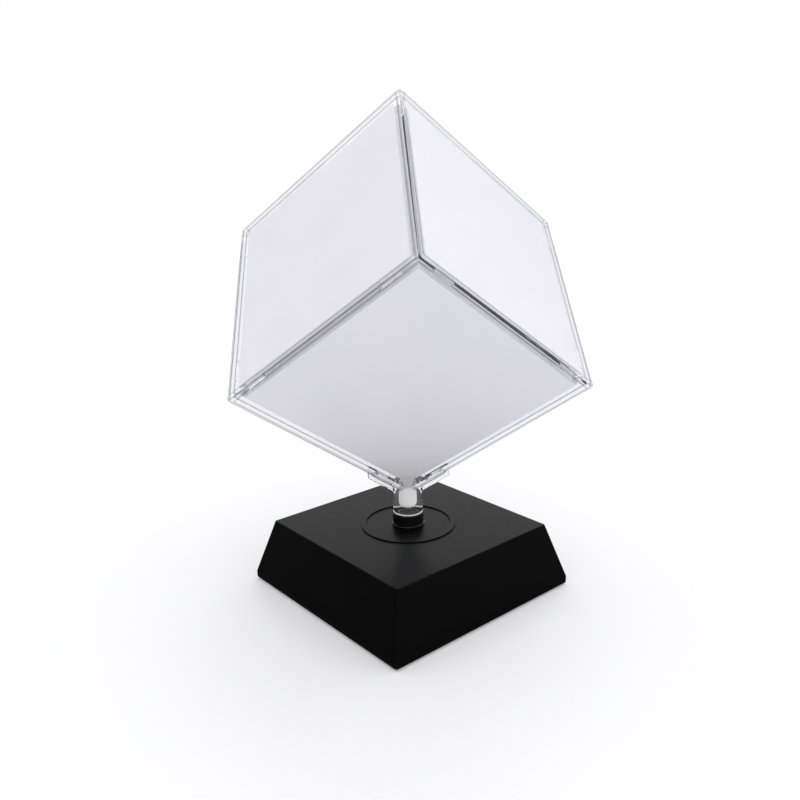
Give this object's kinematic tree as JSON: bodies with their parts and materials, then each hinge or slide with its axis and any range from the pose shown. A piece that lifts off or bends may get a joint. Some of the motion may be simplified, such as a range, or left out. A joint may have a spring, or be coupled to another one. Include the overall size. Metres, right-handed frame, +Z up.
{
  "type": "rotating photo cube",
  "caption": "Clear cube of blank photo cards standing on one corner, turned by a battery gear motor in a tapered black base.",
  "frame": {"origin": "on the cube's turning axis, in the plane that the rubber feet stand on", "axes": "+Z up along the turning axis; X and Y along the sides of the square base, the battery door towards +Y"},
  "size_m": [0.1366, 0.1474, 0.1969],
  "materials": {
    "clear_acrylic": "clear polished moulded plastic",
    "clear_stem": "clear polished moulded plastic",
    "photo_card": "smooth blank card behind a clear wall",
    "white_foam": "fine-celled white foam",
    "black_satin": "satin moulded plastic with a fine texture",
    "black_gloss": "gloss moulded plastic",
    "white_gear": "natural white moulded plastic",
    "grey_plastic": "moulded plastic",
    "washer_plastic": "slippery dark plastic",
    "rubber_foot": "matt rubber",
    "brass": "turned",
    "screw_steel": "plated",
    "spring_steel": "bright nickel plate",
    "motor_steel": "drawn and plated",
    "magnet": "sintered dark grey",
    "cell_jacket": "plain satin jacket, unmarked"
  },
  "bodies": {
    "base": {"base_housing": "black_satin", "base_plate": "black_satin", "spindle_bush": "brass", "thrust_washer": "washer_plastic", "case_screws": "screw_steel", "gear_frame": "grey_plastic", "gear_cover": "grey_plastic", "gear_frame_screws": "screw_steel", "gear_mount_screws": "screw_steel", "first_gear_axle": "screw_steel", "second_gear_axle": "screw_steel", "motor_can": "motor_steel", "motor_end_cap": "black_gloss", "motor_magnets": "magnet", "switch_body": "black_gloss", "battery_cell": "cell_jacket", "contact_plate": "spring_steel", "contact_leaf": "spring_steel", "rubber_foot_1": "rubber_foot", "rubber_foot_2": "rubber_foot", "rubber_foot_3": "rubber_foot", "rubber_foot_4": "rubber_foot"},
    "cube": {"lower_shell": "clear_acrylic", "holder": "clear_stem", "foam_core": "white_foam", "spindle": "black_gloss", "retaining_ring": "spring_steel", "output_gear": "white_gear", "photo_card_1": "photo_card", "photo_card_2": "photo_card", "photo_card_3": "photo_card", "photo_card_4": "photo_card", "photo_card_5": "photo_card", "photo_card_6": "photo_card"},
    "upper_shell": {"upper_shell": "clear_acrylic"},
    "second_gear": {"second_gear": "white_gear"},
    "first_gear": {"first_gear": "white_gear"},
    "rotor": {"armature": "magnet", "motor_shaft": "screw_steel", "motor_pinion": "brass"},
    "switch_knob": {"switch_knob": "black_gloss"},
    "battery_door": {"battery_door": "black_satin"}
  },
  "joints": [
    {"name": "cube_spin", "type": "hinge", "parent": "base", "child": "cube", "pos_m": [0, 0, 0.03], "axis": [0, 0, 1], "continuous": true},
    {"name": "second_gear_spin", "type": "hinge", "parent": "base", "child": "second_gear", "pos_m": [-0.00139, -0.01594, 0.015], "axis": [0, 0, 1], "continuous": true},
    {"name": "first_gear_spin", "type": "hinge", "parent": "base", "child": "first_gear", "pos_m": [0.01159, -0.02118, 0.015], "axis": [0, 0, 1], "continuous": true},
    {"name": "rotor_spin", "type": "hinge", "parent": "base", "child": "rotor", "pos_m": [0.02371, -0.01418, 0.012], "axis": [0, 0, 1], "continuous": true},
    {"name": "upper_shell_lift", "type": "slide", "parent": "cube", "child": "upper_shell", "axis": [0, 0, 1], "range_m": [0, 0.11]},
    {"name": "switch_slide", "type": "slide", "parent": "base", "child": "switch_knob", "axis": [1, 0, 0], "range_m": [0, 0.003]},
    {"name": "battery_door_hinge", "type": "hinge", "parent": "base", "child": "battery_door", "pos_m": [0, 0.0375, 0.0018], "axis": [1, 0, 0], "range_deg": [0, 80]}
  ],
  "couplings": [
    {"joint": "second_gear_spin", "follows": "cube_spin", "ratio": -7},
    {"joint": "first_gear_spin", "follows": "cube_spin", "ratio": 42},
    {"joint": "rotor_spin", "follows": "cube_spin", "ratio": -252}
  ]
}
